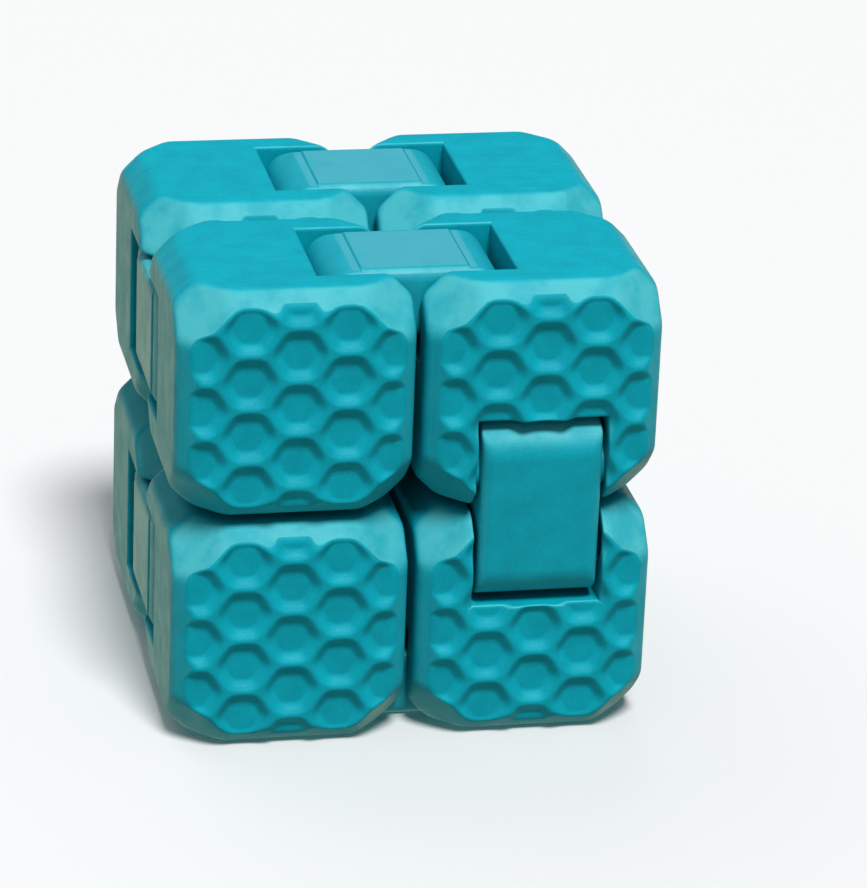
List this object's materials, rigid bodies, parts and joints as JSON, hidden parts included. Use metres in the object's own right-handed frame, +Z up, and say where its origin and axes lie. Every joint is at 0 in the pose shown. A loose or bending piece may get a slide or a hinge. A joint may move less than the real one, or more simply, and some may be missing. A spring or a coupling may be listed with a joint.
{
  "type": "folding fidget cube",
  "caption": "Hand-held folding cube: bevelled honeycomb-faced cubelets in a closed ring, joined by double-pivot hinge links so the block folds open and turns inside out.",
  "frame": {"origin": "centre of the closed block's footprint, on the surface it stands on", "axes": "+Z up; +Y from the front face, with its one upright link at the right, to the back; +X to the right, to the side with no links"},
  "size_m": [0.0406, 0.0406, 0.0407],
  "materials": {
    "cubelet_plastic": "satin, with fine printed layers",
    "link_plastic": "satin, with fine printed layers"
  },
  "bodies": {
    "bottom_back_right_cube": {"bottom_back_right_cube": "cubelet_plastic"},
    "back_right_link": {"back_right_link": "link_plastic"},
    "top_back_right_cube": {"top_back_right_cube": "cubelet_plastic"},
    "top_back_link": {"top_back_link": "link_plastic"},
    "top_back_left_cube": {"top_back_left_cube": "cubelet_plastic"},
    "left_top_link": {"left_top_link": "link_plastic"},
    "top_front_left_cube": {"top_front_left_cube": "cubelet_plastic"},
    "top_front_link": {"top_front_link": "link_plastic"},
    "top_front_right_cube": {"top_front_right_cube": "cubelet_plastic"},
    "front_right_link": {"front_right_link": "link_plastic"},
    "bottom_back_link": {"bottom_back_link": "link_plastic"},
    "bottom_back_left_cube": {"bottom_back_left_cube": "cubelet_plastic"},
    "left_bottom_link": {"left_bottom_link": "link_plastic"},
    "bottom_front_left_cube": {"bottom_front_left_cube": "cubelet_plastic"},
    "bottom_front_link": {"bottom_front_link": "link_plastic"},
    "bottom_front_right_cube": {"bottom_front_right_cube": "cubelet_plastic"}
  },
  "joints": [
    {"name": "row_fold", "type": "hinge", "parent": "bottom_back_right_cube", "child": "back_right_link", "pos_m": [0.01035, 0.01735, 0.017], "axis": [-1, 0, 0], "range_deg": [0, 90]},
    {"name": "row_fold_back_upper", "type": "hinge", "parent": "back_right_link", "child": "top_back_right_cube", "pos_m": [0.01035, 0.01735, 0.0237], "axis": [-1, 0, 0], "range_deg": [0, 90]},
    {"name": "top_lid_fold", "type": "hinge", "parent": "top_back_right_cube", "child": "top_back_link", "pos_m": [0.00335, 0.01035, 0.0377], "axis": [0, 1, 0], "range_deg": [0, 90]},
    {"name": "top_lid_fold_back_left", "type": "hinge", "parent": "top_back_link", "child": "top_back_left_cube", "pos_m": [-0.00335, 0.01035, 0.0377], "axis": [0, 1, 0], "range_deg": [0, 90]},
    {"name": "book_fold", "type": "hinge", "parent": "top_back_left_cube", "child": "left_top_link", "pos_m": [-0.01735, 0.00335, 0.0307], "axis": [0, 0, -1], "range_deg": [0, 90]},
    {"name": "book_fold_top_front", "type": "hinge", "parent": "left_top_link", "child": "top_front_left_cube", "pos_m": [-0.01735, -0.00335, 0.0307], "axis": [0, 0, -1], "range_deg": [0, 90]},
    {"name": "top_lid_fold_front_left", "type": "hinge", "parent": "top_front_left_cube", "child": "top_front_link", "pos_m": [-0.00335, -0.01035, 0.0377], "axis": [0, -1, 0], "range_deg": [0, 90]},
    {"name": "top_lid_fold_front_right", "type": "hinge", "parent": "top_front_link", "child": "top_front_right_cube", "pos_m": [0.00335, -0.01035, 0.0377], "axis": [0, -1, 0], "range_deg": [0, 90]},
    {"name": "row_fold_front_upper", "type": "hinge", "parent": "top_front_right_cube", "child": "front_right_link", "pos_m": [0.01035, -0.01735, 0.0237], "axis": [-1, 0, 0], "range_deg": [0, 90]},
    {"name": "bottom_lid_fold", "type": "hinge", "parent": "bottom_back_right_cube", "child": "bottom_back_link", "pos_m": [0.00335, 0.01035, 0.003], "axis": [0, -1, 0], "range_deg": [0, 90]},
    {"name": "bottom_lid_fold_back_left", "type": "hinge", "parent": "bottom_back_link", "child": "bottom_back_left_cube", "pos_m": [-0.00335, 0.01035, 0.003], "axis": [0, -1, 0], "range_deg": [0, 90]},
    {"name": "book_fold_bottom_back", "type": "hinge", "parent": "bottom_back_left_cube", "child": "left_bottom_link", "pos_m": [-0.01735, 0.00335, 0.01], "axis": [0, 0, -1], "range_deg": [0, 90]},
    {"name": "book_fold_bottom_front", "type": "hinge", "parent": "left_bottom_link", "child": "bottom_front_left_cube", "pos_m": [-0.01735, -0.00335, 0.01], "axis": [0, 0, -1], "range_deg": [0, 90]},
    {"name": "bottom_lid_fold_front_left", "type": "hinge", "parent": "bottom_front_left_cube", "child": "bottom_front_link", "pos_m": [-0.00335, -0.01035, 0.003], "axis": [0, 1, 0], "range_deg": [0, 90]},
    {"name": "bottom_lid_fold_front_right", "type": "hinge", "parent": "bottom_front_link", "child": "bottom_front_right_cube", "pos_m": [0.00335, -0.01035, 0.003], "axis": [0, 1, 0], "range_deg": [0, 90]}
  ],
  "couplings": [
    {"joint": "row_fold_back_upper", "follows": "row_fold", "ratio": 1},
    {"joint": "top_lid_fold_back_left", "follows": "top_lid_fold", "ratio": 1},
    {"joint": "book_fold_top_front", "follows": "book_fold", "ratio": 1},
    {"joint": "top_lid_fold_front_left", "follows": "top_lid_fold", "ratio": 1},
    {"joint": "top_lid_fold_front_right", "follows": "top_lid_fold", "ratio": 1},
    {"joint": "row_fold_front_upper", "follows": "row_fold", "ratio": 1},
    {"joint": "bottom_lid_fold_back_left", "follows": "bottom_lid_fold", "ratio": 1},
    {"joint": "book_fold_bottom_back", "follows": "book_fold", "ratio": 1},
    {"joint": "book_fold_bottom_front", "follows": "book_fold", "ratio": 1},
    {"joint": "bottom_lid_fold_front_left", "follows": "bottom_lid_fold", "ratio": 1},
    {"joint": "bottom_lid_fold_front_right", "follows": "bottom_lid_fold", "ratio": 1}
  ]
}
